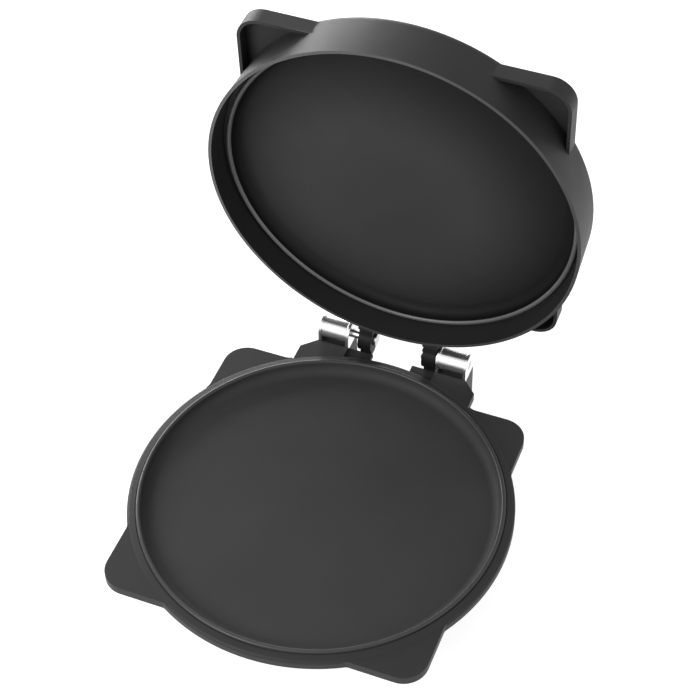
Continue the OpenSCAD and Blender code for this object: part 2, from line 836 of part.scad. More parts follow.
module lid_cover() color(plastic) lid_pose() {
    steps = 6;
    edge = lid_z - 0.2;
    turned() polygon(concat(
        [[0, lid_z - cover_t], [cover_r, lid_z - cover_t], [cover_r, edge - 0.6]],
        [for (i = [steps : -1 : 0])
            [(cover_r - 0.6) * i / steps, edge + cover_crown * (1 - pow(i / steps, 2))]]));
}

module upper_plate() color(plate_black) lid_pose() {
    difference() {
        union() {
            translate([0, 0, lid_floor_z + plate_t]) mirror([0, 0, 1]) turned() plate_profile();
            at_bosses() translate([0, 0, lid_floor_z + plate_t - overlap])
                cylinder(r = boss_r, h = boss_h + overlap);
        }
        at_bosses() translate([0, 0, lid_floor_z + plate_t + 1])
            cylinder(r = screw_r + run_gap, h = boss_h + past);
    }
}

module upper_element() color(zinc) lid_pose() {
    translate([0, 0, lid_tube_z]) mirror([0, 0, 1]) element_loop();
}

module upper_element_clips() color(steel) lid_pose() {
    translate([0, 0, lid_tube_z]) mirror([0, 0, 1]) clips();
}

module upper_reflector() color(steel) lid_pose() {
    reflector_sheet(lid_boss_z, false);
}

module upper_thermostat() color(ceramic) lid_pose() {
    translate([sensor_x, 0, lid_floor_z + plate_t + case_h]) mirror([0, 0, 1])
        thermostat_body();
}

module lid_screws() color(zinc) lid_pose() {
    head = lid_z - cover_t - head_h;
    at_bosses() translate([0, 0, head]) mirror([0, 0, 1])
        screw(head - lid_boss_z + boss_h - 2);
}

module lens(side) {
    translate([side * lens_pitch / 2, -lens_y, lid_ceiling]) {
        cylinder(r = lens_r, h = lid_z - lid_ceiling + overlap);
        translate([0, 0, lid_z - lid_ceiling]) intersection() {
            cylinder(r = lens_r + 1.2, h = 2);
            translate([0, 0, 1.5 - 12]) sphere(r = 12);
        }
    }
}

module power_lens() color([0.75, 0.08, 0.05]) lid_pose() lens(-1);
module ready_lens() color([0.10, 0.55, 0.15]) lid_pose() lens(1);

module indicator_lamps() color(ceramic) lid_pose() {
    for (s = [-1, 1]) translate([s * lens_pitch / 2, -lens_y, lid_ceiling - 9]) {
        cylinder(r = 3, h = 9);
        translate([0, 0, 7]) cylinder(r = 4.5, h = 1.5);
    }
}

base_housing();
base_pan();
rubber_feet();
lower_plate();
lower_element();
lower_element_clips();
lower_reflector();
thermostat();
thermal_fuse();
terminal_block();
base_leads();
cord_gland();
base_screws();
hinge_sleeve_left();
hinge_sleeve_right();
hinge_pin_left();
hinge_pin_right();
lid_housing();
lid_cover();
upper_plate();
upper_element();
upper_element_clips();
upper_reflector();
upper_thermostat();
lid_screws();
lid_arm_left();
lid_arm_right();
hinge_bushes();
arm_screws();
power_lens();
ready_lens();
indicator_lamps();
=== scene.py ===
# %% [markdown]
# # An electric pizza maker, open
# The cooker is two round housings, each with a cast plate in it, on a pair of
# rear hinges. Its solids are loaded first. Everything in this file is in
# metres and in the frame of those solids, so no piece needs fitting: a rim is
# at the height that the solids give it. Lengths are typed in millimetres and
# multiplied by MM, because that is how a maker reads them.

# %% The solids and their box
import json
import math
import bmesh
import bpy
from mathutils import Matrix, Vector


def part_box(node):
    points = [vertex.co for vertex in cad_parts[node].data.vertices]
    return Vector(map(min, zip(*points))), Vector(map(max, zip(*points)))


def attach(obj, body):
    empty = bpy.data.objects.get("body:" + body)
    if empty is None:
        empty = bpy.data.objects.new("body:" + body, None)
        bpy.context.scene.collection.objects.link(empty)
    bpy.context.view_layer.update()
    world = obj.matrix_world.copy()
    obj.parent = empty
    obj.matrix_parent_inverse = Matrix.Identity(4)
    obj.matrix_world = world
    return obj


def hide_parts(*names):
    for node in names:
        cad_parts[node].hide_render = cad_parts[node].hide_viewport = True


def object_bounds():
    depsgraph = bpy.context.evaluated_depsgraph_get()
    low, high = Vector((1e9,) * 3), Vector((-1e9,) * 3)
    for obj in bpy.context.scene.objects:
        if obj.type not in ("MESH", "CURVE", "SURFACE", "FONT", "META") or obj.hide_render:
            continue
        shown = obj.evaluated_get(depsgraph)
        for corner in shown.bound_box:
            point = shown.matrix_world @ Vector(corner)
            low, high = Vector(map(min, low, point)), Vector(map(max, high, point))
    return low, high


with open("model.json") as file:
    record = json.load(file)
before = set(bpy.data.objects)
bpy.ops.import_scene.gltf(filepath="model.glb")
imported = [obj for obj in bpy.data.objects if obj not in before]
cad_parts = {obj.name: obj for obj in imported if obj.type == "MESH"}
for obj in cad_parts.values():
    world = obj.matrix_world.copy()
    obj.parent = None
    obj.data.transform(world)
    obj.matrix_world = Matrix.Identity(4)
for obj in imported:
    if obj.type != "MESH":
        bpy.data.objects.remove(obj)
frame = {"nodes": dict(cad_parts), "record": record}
cad_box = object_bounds()
MM = 0.001
print("solid model box", [round(v, 4) for corner in cad_box for v in corner])

# %% [markdown]
# ## The shut cooker as a drawing
# The part is stored with its lid open. Many sizes are easier to read with the
# lid shut, when both plates share one upright axis. So each body gets a matrix
# that moves its points to where they are when the cooker is shut. A lid point
# turns about the hinge by the whole range of the joint, which the record
# gives. The inverse of the matrix brings it back to the open pose.

# %% Axis, hinge and the shut pose
plate_low, plate_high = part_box("lower_plate")
PLATE_AXIS = Vector((0, (plate_low[1] + plate_high[1]) / 2, 0))
hinge_joint = frame["record"]["behaviour"]["joints"][0]
HINGE = Vector(hinge_joint["pos_m"])
OPEN_ANGLE = hinge_joint["range_deg"][1]
swing = Matrix.Rotation(math.radians(OPEN_ANGLE), 4, "X")
SHUT = {"base": Matrix.Identity(4),
        "lid": Matrix.Translation(HINGE) @ swing @ Matrix.Translation(-HINGE)}
print("plate axis at y", round(PLATE_AXIS.y / MM, 2), "mm, lid open by", OPEN_ANGLE, "degrees")


# %% Heights in the shut cooker
def heights_when_shut(node_name, body):
    """The lowest and highest point of a node, in mm, with the lid shut."""
    high = [(SHUT[body] @ v.co).z / MM for v in frame["nodes"][node_name].data.vertices]
    return min(high), max(high)


for node_name, body in (("lower_plate", "base"), ("upper_plate", "lid"), ("lid_housing", "lid")):
    print(node_name, [round(v, 2) for v in heights_when_shut(node_name, body)], "mm when shut")

# %% [markdown]
# ## The camera
# A cooker like this is shown from above and to one side, with a long lens, so
# that both plates are seen and their circles stay even. The camera could be
# placed by hand. Here it is placed by the angle it looks from, the point it
# looks at and its distance, because those can be read and changed one by one.
# It leans a degree and a half to one side.

# %% Where the camera stands
AZIMUTH, ELEVATION, LEAN = 22.6, 47.7, -1.59
DISTANCE = 1829 * MM
LOOK_AT = PLATE_AXIS + MM * Vector((-43.3, 179.81, 38))
PIXELS_PER_MM = 1.062
IMAGE_WIDTH = 700
SENSOR_WIDTH = 36
FARTHEST_SEEN = 50
print("looks at", [round(v / MM, 1) for v in LOOK_AT], "mm from", DISTANCE, "m")


# %% Place the camera
def aim_camera():
    """Makes the camera that looks at LOOK_AT from AZIMUTH and ELEVATION."""
    a, e, r = (math.radians(v) for v in (AZIMUTH, ELEVATION, LEAN))
    back = Vector((math.sin(a) * math.cos(e), -math.cos(a) * math.cos(e), math.sin(e)))
    right = Vector((math.cos(a), math.sin(a), 0))
    up = back.cross(right)
    leaned_right = math.cos(r) * right + math.sin(r) * up
    leaned_up = -math.sin(r) * right + math.cos(r) * up
    data = bpy.data.cameras.new("view_camera")
    data.sensor_width = SENSOR_WIDTH
    data.lens = PIXELS_PER_MM * DISTANCE / MM / IMAGE_WIDTH * SENSOR_WIDTH
    data.clip_end = FARTHEST_SEEN
    camera = bpy.data.objects.new("view_camera", data)
    bpy.context.scene.collection.objects.link(camera)
    axes = Matrix((leaned_right, leaned_up, back)).transposed().to_4x4()
    camera.matrix_world = Matrix.Translation(LOOK_AT + back * DISTANCE) @ axes
    bpy.context.scene.camera = camera
    return camera


camera = aim_camera()
print("lens", round(camera.data.lens, 1), "mm")


# %% [markdown]
# ## What a finish is made of
# A finish could be an image wrapped round the part. Here each one is a node
# material made from noise: it has no seams, and it holds at any distance.
# Three noises do the work. One drifts the tone a little, one drifts the
# roughness, and a fine one raises a grain. Without them a dark plastic looks
# like a flat colour. A number that is the same all over is set on the shader's
# own socket.

# %% A new material with its constants
def new_material(name, base, rough, metal=0.0, coat=0.0, spec=0.5):
    """A Principled material whose constants sit on its own sockets."""
    material = bpy.data.materials.new(name)
    material.use_nodes = True
    shader = material.node_tree.nodes["Principled BSDF"]
    shader.inputs["Base Color"].default_value = (*base, 1)
    shader.inputs["Roughness"].default_value = rough
    shader.inputs["Metallic"].default_value = metal
    shader.inputs["Coat Weight"].default_value = coat
    shader.inputs["Specular IOR Level"].default_value = spec
    return material, material.node_tree, shader


# %% [markdown]
# ## Noise that drives a socket
# A noise node gives values round a half, and most of them lie between 0.3 and
# 0.7. So that band is spread over the two ends that a finish names. The noise
# is read in the object's own metres, so a grain has one size on every piece.
# Stretching it along an axis turns spots into brush marks.

# %% Noise and its spread
NOISE_LOW, NOISE_HIGH = 0.3, 0.7


def noise(tree, scale, detail, stretch=(1, 1, 1)):
    """Noise in the object's own metres, stretched along an axis for grain."""
    place = tree.nodes.new("ShaderNodeTexCoord")
    mapping = tree.nodes.new("ShaderNodeMapping")
    mapping.inputs["Scale"].default_value = stretch
    texture = tree.nodes.new("ShaderNodeTexNoise")
    texture.inputs["Scale"].default_value = scale
    texture.inputs["Detail"].default_value = detail
    tree.links.new(place.outputs["Object"], mapping.inputs["Vector"])
    tree.links.new(mapping.outputs["Vector"], texture.inputs["Vector"])
    return texture.outputs["Fac"]


def spread(tree, source, low, high, socket):
    """Moves a socket between two values as the noise moves."""
    remap = tree.nodes.new("ShaderNodeMapRange")
    remap.inputs["From Min"].default_value = NOISE_LOW
    remap.inputs["From Max"].default_value = NOISE_HIGH
    remap.inputs["To Min"].default_value = low
    remap.inputs["To Max"].default_value = high
    tree.links.new(source, remap.inputs["Value"])
    tree.links.new(remap.outputs["Result"], socket)


# %% Tone and grain
BUMP_STRENGTH = 0.4


def tint(tree, source, dark, light, socket):
    """Moves a colour between two tones as the noise moves."""
    ramp = tree.nodes.new("ShaderNodeValToRGB")
    stops = ramp.color_ramp.elements
    for stop, place, tone in zip(stops, (NOISE_LOW, NOISE_HIGH), (dark, light)):
        stop.position = place
        stop.color = (*tone, 1)
    tree.links.new(source, ramp.inputs["Fac"])
    tree.links.new(ramp.outputs["Color"], socket)


def grain(tree, shader, source, depth):
    """Raises the surface with the noise, by depth in metres."""
    bump = tree.nodes.new("ShaderNodeBump")
    bump.inputs["Strength"].default_value = BUMP_STRENGTH
    bump.inputs["Distance"].default_value = depth
    tree.links.new(source, bump.inputs["Height"])
    tree.links.new(bump.outputs["Normal"], shader.inputs["Normal"])


# %% A whole finish
TONE_SCALE = 14
WEAR_SCALE = 3 * TONE_SCALE
TONE_DETAIL, WEAR_DETAIL, GRAIN_DETAIL = 3, 5, 3
MICRON = 0.001 * MM


def grey(v, warm=0.0):
    """A grey of brightness v, moved a little towards red when warm."""
    return (v * (1 + warm), v, v * (1 - warm))


def textured(name, dark, light, rough, scale, depth, metal=0.0, coat=0.0, spec=0.5,
             stretch=(1, 1, 1)):
    """A finish with drifting tone, drifting roughness and a grain, depth in microns."""
    mid = [(a + b) / 2 for a, b in zip(dark, light)]
    material, tree, shader = new_material(name, mid, sum(rough) / 2, metal, coat, spec)
    tint(tree, noise(tree, TONE_SCALE, TONE_DETAIL), dark, light, shader.inputs["Base Color"])
    spread(tree, noise(tree, WEAR_SCALE, WEAR_DETAIL, stretch), *rough,
           shader.inputs["Roughness"])
    grain(tree, shader, noise(tree, scale, GRAIN_DETAIL, stretch), depth * MICRON)
    return material


# %% [markdown]
# ## Plastic, coating and paint
# The housings are moulded from a charcoal plastic with a fine grain: dark,
# satin, and with less shine than bare plastic has. The plates carry a
# non-stick coating, which is matt and a little lighter. The arms are metal,
# painted black. The three could share one black material, but it is their
# different shine that tells them apart.

# %% Dark finishes
FINISHES = {}


def finish(name, dark, light, **more):
    """Makes a finish and keeps it under its own name."""
    FINISHES[name] = textured(name, dark, light, **more)


finish("housing_plastic", grey(0.034), grey(0.040), rough=(0.46, 0.50), scale=2600, depth=20,
       spec=0.2)
finish("plate_coating", grey(0.049), grey(0.055), rough=(0.50, 0.58), scale=1800, depth=30,
       spec=0.10)
finish("arm_black", grey(0.008), grey(0.011), rough=(0.45, 0.55), scale=1500, depth=20,
       spec=0.15)
print("dark finishes", list(FINISHES))

# %% [markdown]
# ## Steel
# Steel that is polished, plated or rolled differs in how rough it is and in
# the direction of its marks. One steel for all would be simpler, but the
# hinge's sleeves have to mirror what is round them and the screws don't. The
# heating element is a metal tube that heat has browned.

# %% Steel finishes
BRUSHED_ALONG_X, ROLLED_ALONG_Y = (0.1, 1, 1), (1, 0.05, 1)

finish("polished_steel", grey(0.88), grey(0.94), rough=(0.20, 0.28), scale=900, depth=4,
       metal=1.0, stretch=BRUSHED_ALONG_X)
finish("zinc_steel", grey(0.52), grey(0.62), rough=(0.28, 0.4), scale=700, depth=10, metal=1.0)
finish("sheet_steel", grey(0.56), grey(0.64), rough=(0.2, 0.34), scale=500, depth=10,
       metal=1.0, stretch=ROLLED_ALONG_Y)
finish("element_sheath", grey(0.16, 0.05), grey(0.24, 0.05), rough=(0.4, 0.6), scale=600,
       depth=20, metal=1.0)
print(len(FINISHES), "finishes so far")

# %% [markdown]
# ## Rubber, ceramic, wire and nylon
# These are the small pieces: rubber feet and gland, cream ceramic bodies of
# the thermostats, the fuse and the terminal block, tinned leads, and natural
# nylon bushes in the arms. Few of them are ever seen, but each has a material
# of its own, so that a cut through the part shows what it is made of.

# %% Small-part finishes
finish("rubber", grey(0.012), grey(0.018), rough=(0.7, 0.85), scale=900, depth=40, spec=0.3)
finish("ceramic", grey(0.70, 0.04), grey(0.78, 0.04), rough=(0.5, 0.65), scale=800, depth=20)
finish("tinned_wire", grey(0.62), grey(0.70), rough=(0.25, 0.4), scale=900, depth=5, metal=1.0)
finish("bush_nylon", grey(0.66, 0.02), grey(0.72, 0.02), rough=(0.4, 0.5), scale=900, depth=10)
print(len(FINISHES), "finishes so far")

# %% [markdown]
# ## Lenses and lamps
# Two small lenses, one red and one green, show that the cooker is on and that
# it is hot. A clear plastic could let light through. These are opaque, because
# the lamps behind them are off and an unlit lens looks solid. A thin coat
# gives them the sharp glint of moulded plastic over a soft colour.

# %% Lens finishes
LENS_COAT = 0.3

finish("lens_red", (0.42, 0.02, 0.015), (0.5, 0.03, 0.02), rough=(0.06, 0.1), scale=300,
       depth=10, coat=LENS_COAT)
finish("lens_green", (0.03, 0.26, 0.06), (0.04, 0.32, 0.08), rough=(0.06, 0.1), scale=300,
       depth=10, coat=LENS_COAT)
finish("lamp_glass", grey(0.75), grey(0.82), rough=(0.05, 0.1), scale=300, depth=10)
print(len(FINISHES), "finishes in all")

# %% [markdown]
# ## Every solid in its finish
# The record says what each solid is made of. So the finishes are given out by
# a loop and not piece by piece, and a solid can't be forgotten.

# %% Give every solid its finish
slot_of = {part["node"]: part["material_slot"] for part in frame["record"]["subparts"]}
for name, node in frame["nodes"].items():
    if not node.material_slots:
        node.data.materials.append(FINISHES[slot_of[name]])
    for slot in node.material_slots:
        slot.material = FINISHES[slot_of[name]]
print(len(frame["nodes"]), "nodes finished")


# %% [markdown]
# ## A form in the place of a solid
# Some solids get a finer form for a close look: the same piece with softer
# edges. The solid itself is never touched. A new object stands for it, moves
# with the same body, and has the same finish. One helper says all three for
# every such piece, so that none of them can be left out.

# %% Stand in for a solid
def stand_in(form, node_name, body):
    """Turns a bmesh into a piece that stands for a node and moves with its body."""
    mesh = bpy.data.meshes.new(node_name + "_form")
    form.to_mesh(mesh)
    form.free()
    mesh.polygons.foreach_set("use_smooth", [True] * len(mesh.polygons))
    mesh.materials.append(FINISHES[slot_of[node_name]])
    piece = bpy.data.objects.new(node_name + "_form", mesh)
    bpy.context.scene.collection.objects.link(piece)
    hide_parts(node_name)
    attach(piece, body)
    return piece


# %% [markdown]
# ## The corners of the hinge legs
# The legs under the hinge are box sections, and their upright corners have a
# larger radius than the small edges of the moulding. Those corners could be
# picked by hand. Here an edge weight marks them, and an edge is chosen by its
# direction, its length and its place. The triangles of each flat side are
# joined first, because a bevel runs cleanly along one whole edge and badly
# across a fan of short ones.

# %% Join the triangles of flat sides
FLAT_TURN = 0.001
LARGEST_JOINED = 0.002


def join_flats(form, behind):
    """Joins the triangles of each flat face that lies wholly behind a line, in mm."""
    def level(edge):
        return (len(edge.link_faces) == 2 and edge.calc_face_angle(math.pi) < FLAT_TURN
                and all(v.co.y / MM > behind for f in edge.link_faces for v in f.verts)
                and max(f.calc_area() for f in edge.link_faces) < LARGEST_JOINED)
    bmesh.ops.dissolve_edges(form, edges=[e for e in form.edges if level(e)])


# %% Mark the upright corners
UPRIGHT_WITHIN = 0.1
OUTER_TURN = 1


def mark_corners(form, behind, length):
    """Marks the upright outer corners that stand behind a line, all in mm."""
    join_flats(form, behind)
    mark = form.edges.layers.float.new("bevel_weight_edge")
    marked = 0
    for edge in form.edges:
        a, b = (v.co / MM for v in edge.verts)
        upright = abs(a.z - b.z) > length and (a - b).to_2d().length < UPRIGHT_WITHIN
        if upright and a.y > behind and edge.calc_face_angle_signed(0) > OUTER_TURN:
            edge[mark] = 1.0
            marked += 1
    return marked


# %% [markdown]
# ## Moulded edges
# No moulded or cast edge is a knife edge: it has a small radius, and that
# radius is what draws a bright line round a dark part. The large roundings are
# in the solids already. The small ones are added here, on copies. Each copy is
# welded, and a bevel rounds every edge that turns sharply. It keeps the size
# of its solid, because a bevel only takes material off an outer edge. The
# shading is weighted by the size of the faces, so that flat faces stay flat
# beside their rounded edges.

# %% A copy of a node with softened edges
WELD = 0.004 * MM
SHARP_TURN = 32
LEG_RADIUS = 2 * MM
LEG_STEPS, EDGE_STEPS = 4, 2


def soft_edged(node_name, width, body, corners=None):
    """Stands for a node: the same form with its sharp edges rounded by width."""
    form = bmesh.new()
    form.from_mesh(frame["nodes"][node_name].data)
    bmesh.ops.remove_doubles(form, verts=form.verts, dist=WELD)
    if corners:
        print(node_name, mark_corners(form, *corners), "upright corners")
    piece = stand_in(form, node_name, body)
    if corners:
        post = piece.modifiers.new("corner_radius", "BEVEL")
        post.limit_method = "WEIGHT"
        post.width = LEG_RADIUS
        post.segments = LEG_STEPS
        post.use_clamp_overlap = False
    edge = piece.modifiers.new("edge_radius", "BEVEL")
    edge.limit_method = "ANGLE"
    edge.angle_limit = math.radians(SHARP_TURN)
    edge.width = width
    edge.segments = EDGE_STEPS
    edge.use_clamp_overlap = True
    shade = piece.modifiers.new("even_shading", "WEIGHTED_NORMAL")
    shade.keep_sharp = True
    return piece


# %% Soften the housings
HOUSING_EDGE, PAN_EDGE = 0.5 * MM, 0.4 * MM
LEGS_BEHIND, SHORTEST_CORNER = 140, 20

base_form = soft_edged("base_housing", HOUSING_EDGE, "base",
                       corners=(LEGS_BEHIND, SHORTEST_CORNER))
soft_edged("base_pan", PAN_EDGE, "base")
lid_form = soft_edged("lid_housing", HOUSING_EDGE, "lid")
soft_edged("lid_cover", HOUSING_EDGE, "lid")
for piece in (base_form, lid_form):
    print(piece.name, len(piece.data.polygons), "faces before the bevel")

# %% Soften the feet, the arms and the sleeves
FOOT_EDGE, ARM_EDGE, SLEEVE_EDGE = 0.6 * MM, 0.6 * MM, 0.4 * MM

soft_edged("rubber_feet", FOOT_EDGE, "base")
for side in ("left", "right"):
    arm = soft_edged("lid_arm_" + side, ARM_EDGE, "lid")
    sleeve = soft_edged("hinge_sleeve_" + side, SLEEVE_EDGE, "base")
    print(side, "arm", len(arm.data.polygons), "and sleeve", len(sleeve.data.polygons), "faces")

# %% [markdown]
# ## The two cast plates
# A plate is a round casting: a flat floor, a bend, a short wall and a lip that
# is rounded over. Light runs along the lip in one thin line, and a facet in
# that line shows at once. A bevel on the solid's triangles would leave such
# facets. So a plate is turned here from its section, in fine steps. The
# section is a short list of corners, each with its radius, which is how a
# drawing of a casting gives it. Both plates come from one section. The upper
# one is turned over and swings with the lid.

# %% Round the corners of a section
SHORTEST_STEP = 0.001


def rounded(corners, step):
    """Points of a section of (radius, height, rounding), a rounding in steps of degrees."""
    points = []
    for i, (x, y, r) in enumerate(corners):
        if r == 0:
            points.append((x, y))
            continue
        here = Vector((x, y))
        before = (Vector(corners[i - 1][:2]) - here).normalized()
        after = (Vector(corners[i + 1][:2]) - here).normalized()
        half = before.angle(after) / 2
        centre = here + (before + after).normalized() * r / math.sin(half)
        first = here + before * r / math.tan(half) - centre
        last = here + after * r / math.tan(half) - centre
        sweep = first.angle_signed(last)
        count = max(2, math.ceil(abs(math.degrees(sweep)) / step))
        for k in range(count + 1):
            turned = first.copy()
            turned.rotate(Matrix.Rotation(-sweep * k / count, 2))
            points.append(tuple(centre + turned))
    return points[:1] + [p for q, p in zip(points, points[1:])
                         if math.dist(p, q) > SHORTEST_STEP]


# %% Turn a section about an upright axis
def turn(form, points, centre, steps, flip):
    """Adds a turned surface to form; points are in mm, centre in metres."""
    rings = []
    for r, z in points:
        if r == 0:
            rings.append([form.verts.new(centre + Vector((0, 0, z * flip * MM)))] * steps)
            continue
        rings.append([form.verts.new(centre + MM * Vector((
            r * math.cos(2 * math.pi * i / steps), r * math.sin(2 * math.pi * i / steps),
            z * flip))) for i in range(steps)])
    if points[0][0] > 0:
        rings.append(rings[0])
    for a, b in zip(rings, rings[1:]):
        for i in range(steps):
            j = (i + 1) % steps
            corners = list(dict.fromkeys((a[i], a[j], b[j], b[i])))
            if len(corners) > 2:
                form.faces.new(corners)


# %% [markdown]
# ## The section of a plate
# The outer bend has the radius of the inner one and the wall together, so the
# casting thickens smoothly from its wall to its floor. The lip is a half
# round, so its radius is half its width. Four bosses under the floor take the
# screws. They start a little inside the floor, so that no gap can show between
# the two.

# %% The plate's section
PLATE_HEIGHT, PLATE_FLOOR = 16, 4
WALL_IN, WALL_OUT, LIP_OUT, LIP_UNDER = 157.5, 160, 162, 12
PLATE_BEND = 9
OUTER_BEND = PLATE_BEND + WALL_OUT - WALL_IN
LIP_ROUND = (LIP_OUT - WALL_IN) / 2
LIP_EDGE, LIP_ROOT = 0.6, 0.4
PLATE_SECTION = [(0, PLATE_FLOOR, 0), (WALL_IN, PLATE_FLOOR, PLATE_BEND),
                 (WALL_IN, PLATE_HEIGHT, LIP_ROUND), (LIP_OUT, PLATE_HEIGHT, LIP_ROUND),
                 (LIP_OUT, LIP_UNDER, LIP_EDGE), (WALL_OUT, LIP_UNDER, LIP_ROOT),
                 (WALL_OUT, 0, OUTER_BEND), (0, 0, 0)]
print("lip rounded by", LIP_ROUND, "mm, outer bend", OUTER_BEND, "mm")

# %% The bosses' section
BOSS_BORE, BOSS_OUT, BOSS_DEPTH, BOSS_SINK = 2.3, 6, 8, 0.2
BORE_EDGE, BOSS_EDGE = 0.3, 0.6
BOSS_CIRCLE, BOSS_COUNT, FIRST_BOSS = 84, 4, 45
BOSS_SECTION = [(BOSS_BORE, BOSS_SINK, 0), (BOSS_BORE, -BOSS_DEPTH, BORE_EDGE),
                (BOSS_OUT, -BOSS_DEPTH, BOSS_EDGE), (BOSS_OUT, BOSS_SINK, 0)]
print(BOSS_COUNT, "bosses on a circle of", BOSS_CIRCLE, "mm radius")

# %% Build the plates
PLATE_STEPS, BEND_STEP = 240, 9
BOSS_STEPS, BOSS_BEND_STEP = 32, 30


def cast_plate(node_name, body):
    """A plate of this part, turned from its section, with its screw bosses."""
    low, high = heights_when_shut(node_name, body)
    upright = body == "base"
    flip = 1 if upright else -1
    level = high - PLATE_HEIGHT if upright else low + PLATE_HEIGHT
    underside = PLATE_AXIS + Vector((0, 0, level * MM))
    form = bmesh.new()
    turn(form, rounded(PLATE_SECTION, BEND_STEP), underside, PLATE_STEPS, flip)
    for k in range(BOSS_COUNT):
        a = math.radians(FIRST_BOSS + 360 / BOSS_COUNT * k)
        spot = underside + BOSS_CIRCLE * MM * Vector((math.cos(a), math.sin(a), 0))
        turn(form, rounded(BOSS_SECTION, BOSS_BEND_STEP), spot, BOSS_STEPS, flip)
    bmesh.ops.recalc_face_normals(form, faces=form.faces)
    form.transform(SHUT[body].inverted())
    piece = stand_in(form, node_name, body)
    piece.modifiers.new("even_shading", "WEIGHTED_NORMAL")
    print(piece.name, len(piece.data.polygons), "faces, underside at", round(level, 2), "mm")
    return piece


lower_form = cast_plate("lower_plate", "base")
upper_form = cast_plate("upper_plate", "lid")


# %% [markdown]
# ## Finishes that change along a piece
# Some pieces have two finishes. The faces of the second one could be painted
# by hand. Here they are picked by where they are when the lid is shut: their
# distance from the plates' axis, their height, and which way they look. The
# rule then holds for a whole ring of faces at once.

# %% Pick faces by their place in the shut cooker
def second_finish(piece, body, material, wanted):
    """Gives material to the faces for which wanted(radius, height, outward, up) holds."""
    piece.data.materials.append(material)
    slot = len(piece.data.materials) - 1
    shut = SHUT[body]
    count = 0
    for face in piece.data.polygons:
        spot = shut @ face.center - PLATE_AXIS
        look = shut.to_3x3() @ face.normal
        ray = Vector((spot.x, spot.y, 0))
        radius = ray.length
        outward = look.dot(ray.normalized()) if radius > 0 else 0
        if wanted(radius / MM, spot.z / MM, outward, look.z):
            face.material_index = slot
            count += 1
    print(piece.name, count, "faces in", material.name)


# %% [markdown]
# ## The lid's skirt and rim
# The skirt is the deep wall of the lid. Inside it is matt and a darker grey than the housing:
# painted shade for the deep hollow of the lid. Outside it is satin. Its rim is a narrow flat
# ring in a lighter grey: a painted highlight for the thin line of light along the lid's edge.
# The two are told apart by the way their faces look: towards the axis, or down.

# %% Finish the skirt and the rim
SKIRT_RADIUS, SKIRT_TOP, LOOKS_IN = 167.6, 70, -0.3
RIM_RADIUS, RIM_TOP, LOOKS_DOWN = 166, 48.4, -0.8

# Painted shade: the skirt's inside is a darker grey than the housing.
skirt_painted_shade = textured("skirt_painted_shade", grey(0.022), grey(0.027), rough=(0.6, 0.75),
                        scale=1800, depth=30, spec=0.08)
# Painted highlight: the rim's lighter grey stands for the thin line of light along the lid's
# edge.
rim_painted_highlight = textured("rim_painted_highlight", grey(0.065), grey(0.08), rough=(0.28, 0.34), scale=2600,
                    depth=10)
second_finish(lid_form, "lid", skirt_painted_shade, lambda r, z, out, up:
              r < SKIRT_RADIUS and z < SKIRT_TOP and out < LOOKS_IN)
second_finish(lid_form, "lid", rim_painted_highlight, lambda r, z, out, up:
              r > RIM_RADIUS and z < RIM_TOP and up < LOOKS_DOWN)

# %% [markdown]
# ## The plates' lips
# A plate is coated all over, and its lip carries a second finish. On the lower plate only the
# flattest part of the half round gets it, and there it keeps the coating's tone and is only
# rubbed smoother and shinier. On the upper plate the band is a much lighter grey: a painted
# highlight for the line of light along the lip. That plate is seen from its side, so there the
# band goes further round the lip.

# %% Finish the lips
LIP_MARGIN = 0.1
LIP_LOWEST, LIP_HIGHEST = 48, 71
LOWER_LIP_FLAT, UPPER_LIP_FLAT = 0.7, 0.3

# Painted highlight: the upper lip's lighter grey stands for the line of light along it.
upper_lip_highlight = textured("lip_painted_highlight_upper", grey(0.12), grey(0.15), rough=(0.3, 0.38),
                     scale=1500, depth=10)
lower_lip = textured("lip_rubbed_lower", grey(0.045), grey(0.055), rough=(0.3, 0.38),
                     scale=1500, depth=10, spec=0.4)
for piece, body, lip, flat in ((lower_form, "base", lower_lip, LOWER_LIP_FLAT),
                               (upper_form, "lid", upper_lip_highlight, UPPER_LIP_FLAT)):
    second_finish(piece, body, lip, lambda r, z, out, up:
                  WALL_IN + LIP_MARGIN < r < LIP_OUT - LIP_MARGIN
                  and LIP_LOWEST < z < LIP_HIGHEST and abs(up) > flat)


# %% [markdown]
# ## The upper plate's coating
# The upper plate's coating is painted darker towards its edge and darkest in the bend: painted
# shade, where the lid's skirt and the deep bend keep light off the dish. That could be a painted
# mask. A distance from a point gives the same soft circle with one node, and it is used twice: a
# wide faint one that isn't quite centred, and a narrow one along the bend. The lower plate keeps
# the plain coating.

# %% Darken a finish away from a point
def darker_outwards(material, centre, inner, outer, keep):
    """Darkens a finish from inner to outer, in metres from a point on it."""
    tree = material.node_tree
    shader = tree.nodes["Principled BSDF"]
    tone = shader.inputs["Base Color"].links[0].from_socket
    place = tree.nodes.new("ShaderNodeTexCoord")
    reach = tree.nodes.new("ShaderNodeVectorMath")
    reach.operation = "DISTANCE"
    reach.inputs[1].default_value = centre
    fade = tree.nodes.new("ShaderNodeMapRange")
    fade.interpolation_type = "SMOOTHSTEP"
    fade.inputs["From Min"].default_value = inner
    fade.inputs["From Max"].default_value = outer
    fade.inputs["To Min"].default_value = 1.0
    fade.inputs["To Max"].default_value = keep
    dim = tree.nodes.new("ShaderNodeVectorMath")
    dim.operation = "SCALE"
    tree.links.new(place.outputs["Object"], reach.inputs[0])
    tree.links.new(reach.outputs["Value"], fade.inputs["Value"])
    tree.links.new(tone, dim.inputs[0])
    tree.links.new(fade.outputs["Result"], dim.inputs["Scale"])
    tree.links.new(dim.outputs["Vector"], shader.inputs["Base Color"])


# %% The darkened coating of the upper plate
COATED_FACE = 80
WIDE_CENTRE, WIDE_FADE, WIDE_KEEP = (-15, 26, COATED_FACE), (70 * MM, 175 * MM), 0.25
BEND_CENTRE, BEND_FADE, BEND_KEEP = (0, 0, COATED_FACE), (143 * MM, 159 * MM), 0.35
